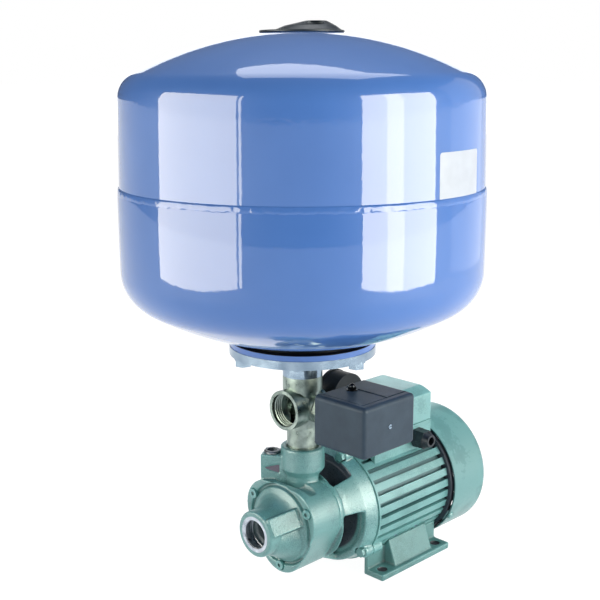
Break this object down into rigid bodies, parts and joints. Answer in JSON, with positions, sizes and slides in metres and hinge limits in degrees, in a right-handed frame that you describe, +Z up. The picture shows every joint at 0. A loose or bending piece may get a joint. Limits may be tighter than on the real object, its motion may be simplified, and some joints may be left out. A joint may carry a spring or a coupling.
{
  "type": "peripheral pump with pressure tank",
  "caption": "Peripheral pump and finned motor on a foot, joined by an open lantern bracket; a steel pressure tank stands on its outlet fitting with a pressure switch and a gauge.",
  "frame": {"origin": "centre of the foot's bolt holes, on the surface that the foot stands on", "axes": "+Z up; X along the pump shaft, with the suction port facing -X and the fan at +X; +Y completes the right-handed frame, so the pressure switch is on the -Y side"},
  "size_m": [0.3589, 0.3168, 0.508],
  "materials": {
    "tank_blue": "gloss",
    "rubber_black": "matt",
    "zinc_plate": "bright zinc",
    "brass_bare": "turned",
    "plastic_black": "matt",
    "nickel_plate": "nickel plated",
    "gauge_black": "satin",
    "dial_white": "matt",
    "clear_glass": "clear",
    "plastic_slate": "satin",
    "spring_steel": "drawn wire",
    "phenolic_tan": "moulded",
    "iron_green": "painted",
    "ceramic_white": "ground",
    "carbon_grey": "lapped",
    "steel_ground": "ground",
    "lamination_steel": "stacked sheet",
    "copper_wire": "enamelled",
    "aluminium_green": "painted",
    "sheet_green": "painted",
    "plastic_green": "satin",
    "plastic_white": "satin"
  },
  "bodies": {
    "root": {"tank_upper_shell": "tank_blue", "tank_lower_shell": "tank_blue", "tank_flange_ring": "tank_blue", "membrane": "rubber_black", "counter_flange": "zinc_plate", "flange_bolts": "zinc_plate", "air_valve": "brass_bare", "valve_cap": "plastic_black", "five_way_fitting": "nickel_plate", "gauge_case": "gauge_black", "gauge_stem": "brass_bare", "bourdon_tube": "brass_bare", "gauge_dial": "dial_white", "gauge_glass": "clear_glass", "switch_nut": "nickel_plate", "diaphragm_housing": "zinc_plate", "diaphragm": "rubber_black", "switch_base": "zinc_plate", "switch_cover": "plastic_slate", "switch_cover_screw": "zinc_plate", "switch_side_nut": "zinc_plate", "range_stud": "zinc_plate", "range_spring": "spring_steel", "range_nut": "zinc_plate", "terminal_strip": "phenolic_tan", "pump_body": "iron_green", "priming_plug": "nickel_plate", "head_screws": "zinc_plate", "body_o_ring": "rubber_black", "wear_plate": "brass_bare", "seal_seat": "ceramic_white", "lantern_bracket": "iron_green", "front_bearing": "steel_ground", "rear_bearing": "steel_ground", "stator_core": "lamination_steel", "windings": "copper_wire", "motor_housing": "aluminium_green", "tie_bolts": "zinc_plate", "rear_shield": "aluminium_green", "fan_cover": "sheet_green", "cover_screws": "zinc_plate", "feet": "aluminium_green", "foot_screws": "zinc_plate", "terminal_base": "aluminium_green", "terminal_lid": "plastic_green", "lid_screws": "zinc_plate", "capacitor": "plastic_white", "terminal_block": "phenolic_tan", "gland_body": "plastic_black", "gland_nut": "plastic_black", "gland_seal": "rubber_black"},
    "rotor": {"motor_shaft": "steel_ground", "rotor_core": "lamination_steel", "impeller": "brass_bare", "seal_ring": "carbon_grey", "fan": "plastic_black"},
    "needle": {"gauge_needle": "plastic_black"},
    "arm": {"contact_arm": "phenolic_tan"},
    "valve_pin": {"air_valve_pin": "brass_bare"}
  },
  "joints": [
    {"name": "rotor_spin", "type": "hinge", "parent": "root", "child": "rotor", "pos_m": [0, 0, 0.063], "axis": [1, 0, 0], "continuous": true},
    {"name": "needle_turn", "type": "hinge", "parent": "root", "child": "needle", "pos_m": [-0.0485, 0.005, 0.1715], "axis": [0, 1, 0], "range_deg": [0, 270], "stiffness_Nm_per_rad": 0.0005},
    {"name": "arm_rock", "type": "hinge", "parent": "root", "child": "arm", "pos_m": [-0.096, -0.057, 0.1595], "axis": [1, 0, 0], "range_deg": [-3, 0], "stiffness_Nm_per_rad": 0.5},
    {"name": "valve_press", "type": "slide", "parent": "root", "child": "valve_pin", "axis": [0, 0, -1], "range_m": [0, 0.0012], "stiffness_N_per_m": 400}
  ]
}
